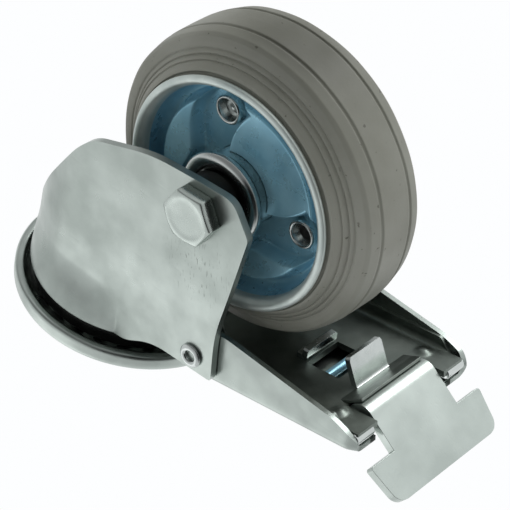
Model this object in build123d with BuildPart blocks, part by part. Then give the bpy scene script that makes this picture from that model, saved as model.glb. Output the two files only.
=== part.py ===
"""Swivel caster with a bolt hole, an 80 mm wheel and a total-lock brake.

Frame: origin at the centre of the head's mounting face, +Z up along the swivel axis.
The wheel and the brake trail towards -X, and the bolt head is on the -Y side.
"""
from math import cos, pi, radians, sin, sqrt
import os

from build123d import *

os.makedirs("parts", exist_ok=True)

# Driving dimensions, millimetres and degrees
WHEEL_R = 40.0              # tread radius
TRAIL = 32.2                # swivel axis to axle
TREAD_ROOM = 22.7           # mounting face to the highest point of the tread
HEAD_R = 32.8               # outer radius of the head cap
SHEET = 2.0                 # pressed steel of the fork and the brake
LEG_HALF = 25.2             # outer faces of the fork legs
BORE_R = 6.25               # clearance hole for an M12 bolt
AXLE_R = 4.0                # M8 axle bolt
BALL_R = 2.5                # both ball rows
PLAY = 0.3                  # gap kept between faces that pass each other
RUN = 0.05                  # radial play of pins and rolling fits

# Wheel sizes
RIM_SEAT_R = 28.95          # tyre seat on the rim
RIM_LIP_R = 30.7            # outer edge of the rolled lip
RIM_HALF = 15.7             # half width over the lips
RIM_SHEET = 1.5
WEB_HALF = 7.2              # outer faces of the two webs
TYRE_RIB_R = 24.0           # rubber rib held between the webs
HUB_R = 10.0
HUB_BORE_R = 8.5
HUB_FLARE_R = 12.0
HUB_HALF = 18.1
RIVET_CIRCLE_R = 19.7
RIVET_COUNT = 3
RIVET_START = -64.0
TUBE_R = 6.0                # outside of the axle tube
ROLLER_R = 1.2
ROLLER_COUNT = 10
ROLLER_HALF = 14.0

# Head and swivel sizes
CAP_SHEET = 2.5
CAP_DEPTH = 5.4
CROWN_GAP = 1.1             # cap rim to fork crown, all round
COLLAR_STEP = 0.5           # the crown's upstand stands this far inside its edge
COLLAR_RISE = 3.6
COLLAR_SHEET = 1.2
SLEEVE_R = 8.0
SLEEVE_LENGTH = 19.0
UPPER_PITCH_R = 24.0
UPPER_BALL_GAP = 1.2
LOWER_PITCH_R = 13.0
LOWER_BALL_GAP = 0.8
RACE_THICK = 2.5
LOCK_R = 22.0
LOCK_NOTCHES = 24
NOTCH_WIDTH = 3.0
NOTCH_ROOT_R = 18.0

# Brake sizes
PIVOT_X = -39.7             # the lever turns on two rivets in the legs
PIVOT_Z = -20.9
PIVOT_R = 2.2
WEB_SLOPE = 0.2422          # fall of the channel's web towards the pedal
WEB_FRONT_X = -35.5
WEB_FRONT_Z = -11.7
WEB_END_X = -78.6
PIN_X = -83.4               # pedal hinge
PIN_Z = -26.0
PIN_R = 1.8
PEDAL_SHEET = 2.3
PEDAL_KICK = 31.0           # the pedal rises away from the wheel
PLATE_SHEET = 1.8
PLATE_DROP = 4.3            # underside of the channel's web to the middle of the plate
PLATE_END_X = -88.0         # arms beside the pedal neck
PLATE_MID_X = -79.1         # end of the plate behind the pedal neck
NECK_HALF = 12.6
LIP_SHEET = 1.2             # edge of the plate pressed down past the pedal's knuckle
LIP_END_X = -81.8
TAB_HALF = 5.2
TAB_LEAN = 53.0
WINDOW_X = -66.6
WINDOW_LENGTH = 8.4
SPRING_X = -67.0
SPRING_R = 1.3
T_START = 10.3              # the T's inner edge, along the plate from the knuckle
T_END = 21.4
T_HALF = 21.6
T_OUTER_HALF = 19.7

# Fork and axle sizes
REAR_WINDOW = 14.0          # opening under the crown for the brake's lock tongue
REAR_WINDOW_HALF = 20.5
HEX_FLATS = 13.0
HEAD_THICK = 4.2
NUT_THICK = 6.5
WASHER_THICK = 1.6
WASHER_R = 8.0
BOLT_TAIL = 2.5

axle_x = -TRAIL
axle_z = -(TREAD_ROOM + WHEEL_R)
cap_lip_r = HEAD_R - CAP_SHEET          # inside of the turned-down rim
crown_r = cap_lip_r - CROWN_GAP
collar_r = crown_r - COLLAR_STEP
front_x = crown_r - LEG_HALF            # centre of the round front of the fork
upper_count = int(2 * pi * UPPER_PITCH_R / (2 * BALL_R + UPPER_BALL_GAP))
lower_count = int(2 * pi * LOWER_PITCH_R / (2 * BALL_R + LOWER_BALL_GAP))
leg_inner = LEG_HALF - SHEET
channel_half = leg_inner - PLAY
channel_inner = channel_half - SHEET
plate_half = channel_inner - PLAY
crown_top = -CAP_SHEET - 2 * BALL_R
crown_bottom = crown_top - SHEET
race_top = crown_bottom - 2 * BALL_R - 0.5
race_bottom = race_top - RACE_THICK
knuckle_r = PIN_R + RUN + PEDAL_SHEET
side = Plane.XZ             # sketches seen from the bolt side, X forward and Z up
axle_plane = Plane(origin=(axle_x, 0, axle_z), x_dir=(1, 0, 0), z_dir=(0, 1, 0))
section = Plane(origin=(axle_x, 0, axle_z), x_dir=(0, 1, 0), z_dir=(-1, 0, 0))
axle_line = Axis((axle_x, 0, axle_z), (0, 1, 0))


def web_z(x):
    """Height of the channel's upper face at x."""
    return WEB_FRONT_Z + WEB_SLOPE * (x - WEB_FRONT_X)


def plate_z(x):
    """Height of the brake plate's middle surface at x."""
    return web_z(x) - SHEET - PLATE_DROP


# ---------------------------------------------------------------- head, held by the stem bolt
with BuildPart() as head_cap:
    with BuildSketch(Plane.XY):
        Circle(HEAD_R)
    extrude(amount=-CAP_DEPTH)
    with BuildSketch(Plane.XY.offset(-CAP_DEPTH)):
        Circle(cap_lip_r)
    extrude(amount=CAP_DEPTH - CAP_SHEET, mode=Mode.SUBTRACT)
    fillet(head_cap.edges().filter_by(GeomType.CIRCLE).group_by(Axis.Z)[-1], radius=2.0)
    fillet(head_cap.edges().filter_by(GeomType.CIRCLE).group_by(Axis.Z)[0], radius=0.9)
    with Locations((0, 0, -CAP_SHEET)):
        Hole(radius=SLEEVE_R, depth=2 * CAP_SHEET)
    with Locations((0, 0, -CAP_SHEET - BALL_R)):
        Torus(UPPER_PITCH_R, BALL_R + PLAY, mode=Mode.SUBTRACT)
head_cap.part.label = "head_cap"
export_step(head_cap.part, "parts/head_cap.step")

with BuildPart() as king_sleeve:
    with BuildSketch(Plane.XZ):
        with BuildLine():
            Polyline((BORE_R, 0), (SLEEVE_R, 0), (SLEEVE_R, race_bottom), (SLEEVE_R + 2.5, race_bottom),
                     (SLEEVE_R + 2.0, -SLEEVE_LENGTH), (BORE_R, -SLEEVE_LENGTH), close=True)
        make_face()
    revolve(axis=Axis.Z)
king_sleeve.part.label = "king_sleeve"
export_step(king_sleeve.part, "parts/king_sleeve.step")

with BuildPart() as lock_race:
    with BuildSketch(Plane.XY.offset(race_bottom)):
        Circle(LOCK_R)
        Circle(SLEEVE_R, mode=Mode.SUBTRACT)
        with PolarLocations((NOTCH_ROOT_R + LOCK_R) / 2 + 0.5, LOCK_NOTCHES):
            Rectangle(LOCK_R - NOTCH_ROOT_R + 1.0, NOTCH_WIDTH, mode=Mode.SUBTRACT)
    extrude(amount=race_top - race_bottom)
    with Locations((0, 0, race_top + BALL_R + 0.25)):
        Torus(LOWER_PITCH_R, BALL_R + PLAY, mode=Mode.SUBTRACT)
lock_race.part.label = "lock_race"
export_step(lock_race.part, "parts/lock_race.step")

# ---------------------------------------------------------------- two ball rows
with BuildPart() as upper_balls:
    with Locations((0, 0, -CAP_SHEET - BALL_R)):
        with PolarLocations(UPPER_PITCH_R, upper_count):
            Sphere(BALL_R)
upper_balls.part.label = "upper_balls"
export_step(upper_balls.part, "parts/upper_balls.step")

with BuildPart() as lower_balls:
    with Locations((0, 0, race_top + BALL_R + 0.25)):
        with PolarLocations(LOWER_PITCH_R, lower_count):
            Sphere(BALL_R)
lower_balls.part.label = "lower_balls"
export_step(lower_balls.part, "parts/lower_balls.step")

# ---------------------------------------------------------------- fork
with BuildPart() as fork:
    with BuildSketch(Plane.XY.offset(crown_bottom + 0.5)):
        with Locations((front_x, 0)):
            Circle(LEG_HALF)
        with Locations((front_x - 30, 0)):
            Rectangle(60, 2 * LEG_HALF)
        with Locations((front_x, 0)):
            Circle(leg_inner, mode=Mode.SUBTRACT)
        with Locations((front_x - 31, 0)):
            Rectangle(62, 2 * leg_inner, mode=Mode.SUBTRACT)
    extrude(amount=axle_z - 5.8)
    with BuildSketch(Plane.XY.offset(crown_top)):
        Circle(crown_r)
    extrude(amount=-SHEET)
    with BuildSketch(Plane.XY.offset(crown_top)):
        Circle(collar_r)
        Circle(collar_r - COLLAR_SHEET, mode=Mode.SUBTRACT)
    extrude(amount=COLLAR_RISE)
    with BuildSketch(Plane.XZ):
        with BuildLine():
            Polyline((crown_r - SHEET, crown_bottom + 0.5), (crown_r, crown_bottom + 0.5),
                     (crown_r, crown_bottom - 1.0), (LEG_HALF - 0.6, crown_bottom - 7.0),
                     (LEG_HALF - 0.6 - SHEET, crown_bottom - 7.0), (crown_r - SHEET, crown_bottom - 1.0),
                     close=True)
        make_face()
    revolve(axis=Axis.Z)
    with BuildSketch(side) as fork_profile:
        with BuildLine():
            Polyline((crown_r + 1, crown_top + COLLAR_RISE), (crown_r + 1, crown_bottom - 6),
                     (axle_x + 39.0, axle_z + 6.7), (axle_x + 34.4, axle_z + 1.2),
                     (axle_x + 16.7, axle_z - 6.3), (axle_x + 2.2, axle_z - 8.5),
                     (axle_x - 9.3, axle_z - 9.8), (axle_x - 15.8, axle_z - 2.2),
                     (axle_x - 15.2, axle_z + 8.9), (-44.8, -31.5), (-46.8, -17.2), (-27.0, -15.2),
                     (-19.0, crown_bottom), (-crown_r - 1, crown_bottom),
                     (-crown_r - 1, crown_top + COLLAR_RISE), close=True)
        make_face()
        fillet(fork_profile.vertices().group_by(Axis.Y)[0], radius=3.0)
        fillet(fork_profile.vertices().sort_by_distance((axle_x - 15.8, axle_z - 2.2))[0], radius=3.0)
        fillet(fork_profile.vertices().sort_by_distance((axle_x + 39.0, axle_z + 6.7))[0], radius=8.0)
        fillet(fork_profile.vertices().sort_by_distance((-46.8, -17.2))[0], radius=2.5)
        fillet(fork_profile.vertices().sort_by_distance((-27.0, -15.2))[0], radius=6.0)
    extrude(amount=crown_r + 2, both=True, mode=Mode.INTERSECT)
    with BuildSketch(Plane.XY.offset(crown_bottom)):
        with Locations((-crown_r, 0)):
            Rectangle(2 * REAR_WINDOW, 2 * REAR_WINDOW_HALF)
    extrude(amount=-12, mode=Mode.SUBTRACT)
    with Locations((0, 0, crown_top)):
        Hole(radius=SLEEVE_R + 1.5, depth=2 * SHEET)
    with Locations((0, 0, -CAP_SHEET - BALL_R)):
        Torus(UPPER_PITCH_R, BALL_R + PLAY, mode=Mode.SUBTRACT)
    with Locations((0, 0, race_top + BALL_R + 0.25)):
        Torus(LOWER_PITCH_R, BALL_R + PLAY, mode=Mode.SUBTRACT)
    with BuildSketch(axle_plane):
        Circle(AXLE_R + 0.2)
    extrude(amount=LEG_HALF + 5, both=True, mode=Mode.SUBTRACT)
    with BuildSketch(side):
        with Locations((PIVOT_X, PIVOT_Z)):
            Circle(PIVOT_R)
    extrude(amount=LEG_HALF + 5, both=True, mode=Mode.SUBTRACT)
fork.part.label = "fork"
export_step(fork.part, "parts/fork.step")

with BuildPart() as pivot_rivets:
    for hand in (1, -1):
        with BuildSketch(Plane.XZ.offset(hand * (plate_half - PLATE_SHEET))):
            with Locations((PIVOT_X, PIVOT_Z)):
                Circle(PIVOT_R - RUN)
        extrude(amount=hand * (LEG_HALF - plate_half + PLATE_SHEET))
        with BuildSketch(Plane.XZ.offset(hand * LEG_HALF)):
            with Locations((PIVOT_X, PIVOT_Z)):
                Circle(PIVOT_R + 1.0)
        extrude(amount=hand * 1.2)
        with BuildSketch(Plane.XZ.offset(hand * (plate_half - PLATE_SHEET - PLAY))):
            with Locations((PIVOT_X, PIVOT_Z)):
                Circle(PIVOT_R + 0.8)
        extrude(amount=-hand * 0.9)
        with BuildSketch(Plane.XZ.offset(hand * (plate_half - PLATE_SHEET - PLAY))):
            with Locations((PIVOT_X, PIVOT_Z)):
                Circle(PIVOT_R - RUN)
        extrude(amount=hand * 2 * PLAY)
        with BuildSketch(Plane.XZ.offset(hand * (LEG_HALF + 1.2))):
            with Locations((PIVOT_X, PIVOT_Z)):
                Circle(PIVOT_R - 1.0)
        extrude(amount=-hand * 5.0, mode=Mode.SUBTRACT)
pivot_rivets.part.label = "pivot_rivets"
export_step(pivot_rivets.part, "parts/pivot_rivets.step")

# ---------------------------------------------------------------- axle
with BuildPart() as axle_bolt:
    with BuildSketch(axle_plane.offset(-LEG_HALF - HEAD_THICK)):
        RegularPolygon(radius=HEX_FLATS / sqrt(3), side_count=6, rotation=55)
    extrude(amount=HEAD_THICK)
    with BuildSketch(axle_plane.offset(-LEG_HALF - HEAD_THICK)):
        Circle(HEX_FLATS / sqrt(3) - 0.3)
    extrude(amount=HEAD_THICK, taper=-30, mode=Mode.INTERSECT)
    with BuildSketch(axle_plane.offset(-LEG_HALF)):
        Circle(AXLE_R)
    extrude(amount=2 * LEG_HALF + WASHER_THICK + NUT_THICK + BOLT_TAIL)
    chamfer(axle_bolt.edges().group_by(Axis.Y)[-1], length=0.8)
axle_bolt.part.label = "axle_bolt"
export_step(axle_bolt.part, "parts/axle_bolt.step")

with BuildPart() as nut_washer:
    with BuildSketch(axle_plane.offset(LEG_HALF)):
        Circle(WASHER_R)
        Circle(AXLE_R + 0.2, mode=Mode.SUBTRACT)
    extrude(amount=WASHER_THICK)
nut_washer.part.label = "nut_washer"
export_step(nut_washer.part, "parts/nut_washer.step")

with BuildPart() as axle_nut:
    with BuildSketch(axle_plane.offset(LEG_HALF + WASHER_THICK)):
        RegularPolygon(radius=HEX_FLATS / sqrt(3), side_count=6)
    extrude(amount=NUT_THICK)
    with BuildSketch(axle_plane.offset(LEG_HALF + WASHER_THICK)):
        Circle(HEX_FLATS / sqrt(3) + 3.2)
    extrude(amount=NUT_THICK, taper=30, mode=Mode.INTERSECT)
    with BuildSketch(axle_plane.offset(LEG_HALF + WASHER_THICK)):
        Circle(AXLE_R)
    extrude(amount=NUT_THICK, mode=Mode.SUBTRACT)
axle_nut.part.label = "axle_nut"
export_step(axle_nut.part, "parts/axle_nut.step")

with BuildPart() as axle_tube:
    with BuildSketch(axle_plane.offset(-leg_inner)):
        Circle(TUBE_R)
        Circle(AXLE_R + 0.1, mode=Mode.SUBTRACT)
    extrude(amount=2 * leg_inner)
axle_tube.part.label = "axle_tube"
export_step(axle_tube.part, "parts/axle_tube.step")

for name, hand in (("spacer_near", -1), ("spacer_far", 1)):
    with BuildPart() as spacer:
        with BuildSketch(axle_plane.offset(hand * (HUB_HALF + 2 * PLAY))):
            Circle(TUBE_R + 2.0)
            Circle(TUBE_R, mode=Mode.SUBTRACT)
        extrude(amount=hand * (leg_inner - HUB_HALF - 2 * PLAY))
    spacer.part.label = name
    export_step(spacer.part, "parts/" + name + ".step")

# ---------------------------------------------------------------- wheel
with BuildPart() as tyre:
    with BuildSketch(section):
        with BuildLine():
            half = [(0, WHEEL_R), (4.9, WHEEL_R - 0.05), (5.15, WHEEL_R - 0.55), (5.65, WHEEL_R - 0.6),
                    (5.9, WHEEL_R - 0.15), (9.0, WHEEL_R - 1.0), (9.9, WHEEL_R - 1.9),
                    (10.4, RIM_LIP_R + 4.6), (10.9, RIM_LIP_R + 3.9), (11.7, RIM_LIP_R + 3.3),
                    (12.4, RIM_LIP_R + 2.4), (12.9, RIM_LIP_R + 1.7), (RIM_HALF - 1.4, RIM_LIP_R + 0.8),
                    (RIM_HALF - 1.1, RIM_LIP_R), (RIM_HALF - 1.5, RIM_SEAT_R + 0.4),
                    (RIM_HALF - 2.1, RIM_SEAT_R), (WEB_HALF - RIM_SHEET, RIM_SEAT_R),
                    (WEB_HALF - RIM_SHEET, TYRE_RIB_R)]
            Polyline(*half, *[(-y, r) for y, r in reversed(half[1:])], close=True)
        make_face()
    revolve(axis=axle_line)
tyre.part.label = "tyre"
export_step(tyre.part, "parts/tyre.step")

for name, hand in (("rim_near", -1), ("rim_far", 1)):
    with BuildPart() as rim:
        with BuildSketch(section):
            with BuildLine():
                outline = [(WEB_HALF - RIM_SHEET, HUB_R), (WEB_HALF, HUB_R), (WEB_HALF, 25.6),
                           (WEB_HALF + 1.6, RIM_SEAT_R - RIM_SHEET),
                           (RIM_HALF - 0.9, RIM_SEAT_R - RIM_SHEET + 0.2),
                           (RIM_HALF, RIM_SEAT_R - 0.4), (RIM_HALF, RIM_LIP_R - 0.5),
                           (RIM_HALF - 0.5, RIM_LIP_R),
                           (RIM_HALF - 1.1, RIM_LIP_R), (RIM_HALF - 1.5, RIM_SEAT_R + 0.4),
                           (RIM_HALF - 2.1, RIM_SEAT_R), (WEB_HALF - RIM_SHEET, RIM_SEAT_R)]
                Polyline(*[(hand * y, r) for y, r in outline], close=True)
            make_face()
        revolve(axis=axle_line)
        with BuildSketch(axle_plane.offset(hand * (WEB_HALF - 2 * RIM_SHEET))):
            with PolarLocations(RIVET_CIRCLE_R, RIVET_COUNT, start_angle=-RIVET_START):
                Circle(2.4)
        extrude(amount=hand * 6 * RIM_SHEET, mode=Mode.SUBTRACT)
    rim.part.label = name
    export_step(rim.part, "parts/" + name + ".step")

with BuildPart() as rim_rivets:
    with BuildSketch(axle_plane.offset(-WEB_HALF)):
        with PolarLocations(RIVET_CIRCLE_R, RIVET_COUNT, start_angle=-RIVET_START):
            Circle(2.4)
    extrude(amount=2 * WEB_HALF)
    for hand in (1, -1):
        with BuildSketch(axle_plane.offset(hand * WEB_HALF)):
            with PolarLocations(RIVET_CIRCLE_R, RIVET_COUNT, start_angle=-RIVET_START):
                Circle(3.6)
        extrude(amount=hand * 1.0)
    with BuildSketch(axle_plane.offset(-2 * WEB_HALF)):
        with PolarLocations(RIVET_CIRCLE_R, RIVET_COUNT, start_angle=-RIVET_START):
            Circle(1.5)
    extrude(amount=4 * WEB_HALF, mode=Mode.SUBTRACT)
rim_rivets.part.label = "rim_rivets"
export_step(rim_rivets.part, "parts/rim_rivets.step")

with BuildPart() as hub_tube:
    with BuildSketch(section):
        with BuildLine():
            half = [(0, HUB_R), (HUB_HALF - 3.2, HUB_R), (HUB_HALF - 1.0, HUB_FLARE_R),
                    (HUB_HALF, HUB_FLARE_R), (HUB_HALF, HUB_FLARE_R - 0.8),
                    (HUB_HALF - 1.6, HUB_BORE_R + 0.6), (HUB_HALF - 2.2, HUB_BORE_R)]
            Polyline(*half, *[(-y, r) for y, r in reversed(half[1:])], close=True)
        make_face()
    revolve(axis=axle_line)
hub_tube.part.label = "hub_tube"
export_step(hub_tube.part, "parts/hub_tube.step")

for name, hand in (("seal_near", -1), ("seal_far", 1)):
    with BuildPart() as seal:
        with BuildSketch(axle_plane.offset(hand * (ROLLER_HALF + 2 * PLAY + 1.0))):
            Circle(HUB_BORE_R)
            Circle(TUBE_R + RUN + 0.1, mode=Mode.SUBTRACT)
        extrude(amount=hand * 1.5)
    seal.part.label = name
    export_step(seal.part, "parts/" + name + ".step")

# ---------------------------------------------------------------- roller bearing
with BuildPart() as rollers:
    with BuildSketch(axle_plane.offset(-ROLLER_HALF + PLAY)):
        with PolarLocations((TUBE_R + HUB_BORE_R) / 2, ROLLER_COUNT):
            Circle(ROLLER_R)
    extrude(amount=2 * (ROLLER_HALF - PLAY))
rollers.part.label = "rollers"
export_step(rollers.part, "parts/rollers.step")

with BuildPart() as roller_cage:
    for hand in (1, -1):
        with BuildSketch(axle_plane.offset(hand * ROLLER_HALF)):
            Circle(HUB_BORE_R - 0.2)
            Circle(TUBE_R + 0.2, mode=Mode.SUBTRACT)
        extrude(amount=hand * 1.0)
    with BuildSketch(axle_plane.offset(-ROLLER_HALF)):
        with PolarLocations((TUBE_R + HUB_BORE_R) / 2, ROLLER_COUNT, start_angle=180 / ROLLER_COUNT):
            Circle(0.8)
    extrude(amount=2 * ROLLER_HALF)
roller_cage.part.label = "roller_cage"
export_step(roller_cage.part, "parts/roller_cage.step")

# ---------------------------------------------------------------- brake lever
with BuildPart() as brake_channel:
    with BuildSketch(side) as channel_profile:
        with BuildLine():
            Polyline((WEB_FRONT_X, WEB_FRONT_Z), (WEB_FRONT_X, -25.5), (-44.4, -30.6), (-80.8, -31.3),
                     (-85.4, -30.2), (-89.7, web_z(-89.7)), close=True)
        make_face()
        fillet(channel_profile.vertices().sort_by_distance((-85.4, -30.2))[0], radius=3.0)
        fillet(channel_profile.vertices().sort_by_distance((-44.4, -30.6))[0], radius=6.0)
    extrude(amount=channel_half, both=True)
    fillet(brake_channel.faces().sort_by(Axis.Z)[-1].edges().filter_by(Axis.Y, reverse=True)
           .filter_by(lambda e: abs(e.center().Y) > 1), radius=2.2)
    with BuildSketch(side):
        with BuildLine():
            Polyline((WEB_FRONT_X + 5, web_z(WEB_FRONT_X + 5) - SHEET),
                     (-95, web_z(-95) - SHEET), (-95, -36), (WEB_FRONT_X + 5, -36), close=True)
        make_face()
    extrude(amount=channel_inner, both=True, mode=Mode.SUBTRACT)
    # The web stops at the pedal's neck; a tongue of it goes on to the tip at either side.
    with BuildSketch(side):
        with BuildLine():
            Polyline((WEB_END_X, web_z(WEB_END_X) + 5), (-95, web_z(WEB_END_X) + 5), (-95, -36),
                     (WEB_END_X, -36), close=True)
        make_face()
    extrude(amount=NECK_HALF + 1.0, both=True, mode=Mode.SUBTRACT)
    with BuildSketch(side):
        with Locations((PIVOT_X, PIVOT_Z)):
            Circle(PIVOT_R)
        with Locations((PIN_X, PIN_Z)):
            Circle(PIN_R)
    extrude(amount=LEG_HALF, both=True, mode=Mode.SUBTRACT)
brake_channel.part.label = "brake_channel"
export_step(brake_channel.part, "parts/brake_channel.step")

with BuildPart() as pedal_pin:
    with BuildSketch(side):
        with Locations((PIN_X, PIN_Z)):
            Circle(PIN_R)
    extrude(amount=channel_half, both=True)
    chamfer(pedal_pin.edges().filter_by(GeomType.CIRCLE), length=0.4)
pedal_pin.part.label = "pedal_pin"
export_step(pedal_pin.part, "parts/pedal_pin.step")

with BuildPart() as brake_plate:
    with BuildSketch(side):
        with BuildLine():
            half_sheet = PLATE_SHEET / 2
            Polyline((PLATE_END_X, plate_z(PLATE_END_X) - half_sheet),
                     (PLATE_END_X, plate_z(PLATE_END_X) + half_sheet),
                     (-33.0, plate_z(-33.0) + half_sheet), (-23.0, race_bottom - PLAY),
                     (-18.6, race_bottom - PLAY),
                     (-18.6, race_bottom - PLAY - PLATE_SHEET), (-23.5, race_bottom - PLAY - PLATE_SHEET),
                     (-33.0, plate_z(-33.0) - half_sheet), close=True)
        make_face()
    extrude(amount=plate_half, both=True)
    with BuildSketch(Plane.XY.offset(-40)):
        with BuildLine():
            Polyline((-17, -1.0), (-17, 1.0), (-29.0, 1.0), (-33.5, 6.0), (-41.0, 12.0),
                     (-46.5, plate_half),
                     (PLATE_END_X - 1, plate_half), (PLATE_END_X - 1, NECK_HALF + 2 * PLAY),
                     (PLATE_MID_X, NECK_HALF + 2 * PLAY), (PLATE_MID_X, -NECK_HALF - 2 * PLAY),
                     (PLATE_END_X - 1, -NECK_HALF - 2 * PLAY), (PLATE_END_X - 1, -plate_half),
                     (-46.5, -plate_half), (-41.0, -12.0), (-33.5, -6.0), (-29.0, -1.0), close=True)
        make_face()
        with Locations((WINDOW_X, 0)):
            Rectangle(WINDOW_LENGTH, 2 * TAB_HALF + 1.6, mode=Mode.SUBTRACT)
    extrude(amount=40, mode=Mode.INTERSECT)
    for hand in (1, -1):
        with BuildSketch(Plane.XZ.offset(hand * plate_half)):
            with BuildLine():
                Polyline((-33.5, -16.5), (-33.5, -24.5), (-46.0, -25.0), (-80.5, plate_z(-80.5) - 2.6),
                         (-80.5, plate_z(-80.5)), (-46.0, plate_z(-46.0)), (-40.0, -16.5), close=True)
            make_face()
            with Locations((PIVOT_X, PIVOT_Z)):
                Circle(PIVOT_R, mode=Mode.SUBTRACT)
        extrude(amount=-hand * PLATE_SHEET)
    with BuildSketch(side):
        with BuildLine():
            lip_x = LIP_END_X - PIN_X
            lip_z = PIN_Z - sqrt((knuckle_r + PLAY) ** 2 - lip_x ** 2)
            Polyline((PLATE_MID_X + 2.5, plate_z(PLATE_MID_X + 2.5)),
                     (PLATE_MID_X, plate_z(PLATE_MID_X) + 0.2), (LIP_END_X, lip_z),
                     (LIP_END_X, lip_z - LIP_SHEET), (PLATE_MID_X, plate_z(PLATE_MID_X) - 2.0),
                     (PLATE_MID_X + 2.5, plate_z(PLATE_MID_X + 2.5) - half_sheet), close=True)
        make_face()
    extrude(amount=NECK_HALF - 1.0, both=True)
    for root_x, length in ((-62.4, 4.0), (-76.0, 7.9)):
        lean = radians(TAB_LEAN)
        root_z = plate_z(root_x)
        tip_x = root_x + length * cos(lean)
        tip_z = root_z - length * sin(lean)
        with BuildSketch(side):
            with BuildLine():
                Polyline((root_x - PLATE_SHEET * sin(lean), root_z), (root_x, root_z), (tip_x, tip_z),
                         (tip_x - PLATE_SHEET * sin(lean), tip_z - PLATE_SHEET * cos(lean)), close=True)
            make_face()
        extrude(amount=TAB_HALF, both=True)
brake_plate.part.label = "brake_plate"
export_step(brake_plate.part, "parts/brake_plate.step")

with BuildPart() as brake_spring:
    with BuildSketch(side):
        with Locations((SPRING_X, web_z(SPRING_X) - SHEET - SPRING_R - PLAY / 2)):
            Circle(SPRING_R)
    extrude(amount=channel_inner, both=True)
brake_spring.part.label = "brake_spring"
export_step(brake_spring.part, "parts/brake_spring.step")

# ---------------------------------------------------------------- pedal, rolled round its pin
foot_x = PIN_X - knuckle_r * sin(radians(PEDAL_KICK))
foot_z = PIN_Z - knuckle_r * cos(radians(PEDAL_KICK))
pedal_plane = Plane(origin=(foot_x, 0, foot_z),
                    x_dir=(-cos(radians(PEDAL_KICK)), 0, sin(radians(PEDAL_KICK))),
                    z_dir=(sin(radians(PEDAL_KICK)), 0, cos(radians(PEDAL_KICK))))
with BuildPart() as pedal:
    with BuildSketch(pedal_plane) as pedal_outline:
        with BuildLine():
            Polyline((-0.2, NECK_HALF), (T_START, NECK_HALF), (T_START, T_HALF),
                     (T_END - 2, T_OUTER_HALF + 0.3), (T_END, T_OUTER_HALF - 2),
                     (T_END, 2 - T_OUTER_HALF), (T_END - 2, -T_OUTER_HALF - 0.3),
                     (T_START, -T_HALF), (T_START, -NECK_HALF), (-0.2, -NECK_HALF), close=True)
        make_face()
    extrude(amount=PEDAL_SHEET)
    with BuildSketch(side) as knuckle:
        with Locations((PIN_X, PIN_Z)):
            Circle(knuckle_r)
            Circle(knuckle_r - PEDAL_SHEET, mode=Mode.SUBTRACT)
        with BuildLine():
            open_end = (PIN_X + 8 * cos(radians(60)), PIN_Z + 8 * sin(radians(60)))
            plate_end = (PIN_X - 8 * sin(radians(PEDAL_KICK)), PIN_Z - 8 * cos(radians(PEDAL_KICK)))
            Polyline((PIN_X, PIN_Z), open_end, (PIN_X - 12, PIN_Z + 12), plate_end, close=True)
        make_face(mode=Mode.SUBTRACT)
    extrude(amount=NECK_HALF, both=True)
pedal.part.label = "pedal"
export_step(pedal.part, "parts/pedal.step")
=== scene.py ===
"""Swivel caster with a total-lock brake: visual pieces, finishes, light and camera.

Every size is in millimetres in the caster's own frame (origin at the centre of the mounting
face, +Z up, the wheel trailing towards -X) and becomes metres where a mesh is made.
"""
import logging
from dataclasses import dataclass, replace
from enum import Enum
from math import cos, pi, radians, sin, sqrt, tan
from typing import Optional, Sequence

import bmesh
import bpy
import numpy as np
from mathutils import Matrix, Vector


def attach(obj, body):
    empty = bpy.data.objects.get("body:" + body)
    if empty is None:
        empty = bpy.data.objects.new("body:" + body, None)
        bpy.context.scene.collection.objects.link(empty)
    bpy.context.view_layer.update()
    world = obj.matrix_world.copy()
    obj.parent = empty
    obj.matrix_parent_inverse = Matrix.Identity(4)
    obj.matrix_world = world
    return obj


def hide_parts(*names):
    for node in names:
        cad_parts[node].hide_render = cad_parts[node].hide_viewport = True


MM = 0.001
LOG = logging.getLogger("caster")
AXLE_X = -32.2
AXLE_Z = -62.7
LEG_HALF = 25.2
SHEET = 2.0
Array = np.ndarray


class Body(Enum):
    """Moving groups that a piece can ride on."""

    HEAD = "head"
    FORK = "fork_body"
    WHEEL = "wheel"
    LEVER = "brake_lever"
    PEDAL = "brake_pedal"


# ---------------------------------------------------------------- shapes as arrays
def rounded(points: Sequence[Sequence[float]], radius: float | Sequence[float], steps: int = 5,
            closed: bool = True) -> Array:
    """Rounds the corners of an outline: each corner becomes a short quadratic curve.

    The curve starts and ends on the two sides, at the radius or at 0.45 of the shorter side
    from the corner, whichever is less, and the corner itself is its middle control point.

    Args:
        points: corners of the outline, as (a, b) pairs.
        radius: how far from each corner the curve starts, one number or one for each corner.
        steps: points on each curve.
        closed: whether the last corner joins the first.

    Returns:
        The outline's points as an (n, 2) array.
    """
    corner = np.asarray(points, float)
    reach = np.broadcast_to(np.asarray(radius, float), len(corner)).copy()
    before = np.roll(corner, 1, axis=0) - corner
    after = np.roll(corner, -1, axis=0) - corner
    if not closed:
        reach[[0, -1]] = 0.0
    len_before = np.linalg.norm(before, axis=1)
    len_after = np.linalg.norm(after, axis=1)
    reach = np.minimum(reach, 0.45 * np.minimum(len_before, len_after))
    start = corner + before * (reach / len_before)[:, None]
    end = corner + after * (reach / len_after)[:, None]
    t = np.linspace(0.0, 1.0, steps)[None, :, None]
    curve = (1 - t) ** 2 * start[:, None] + 2 * t * (1 - t) * corner[:, None] + t**2 * end[:, None]
    flat = curve.reshape(-1, 2)
    step = np.linalg.norm(np.diff(flat, axis=0), axis=1)
    return flat[np.concatenate([[True], step > 1e-6])]


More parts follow.
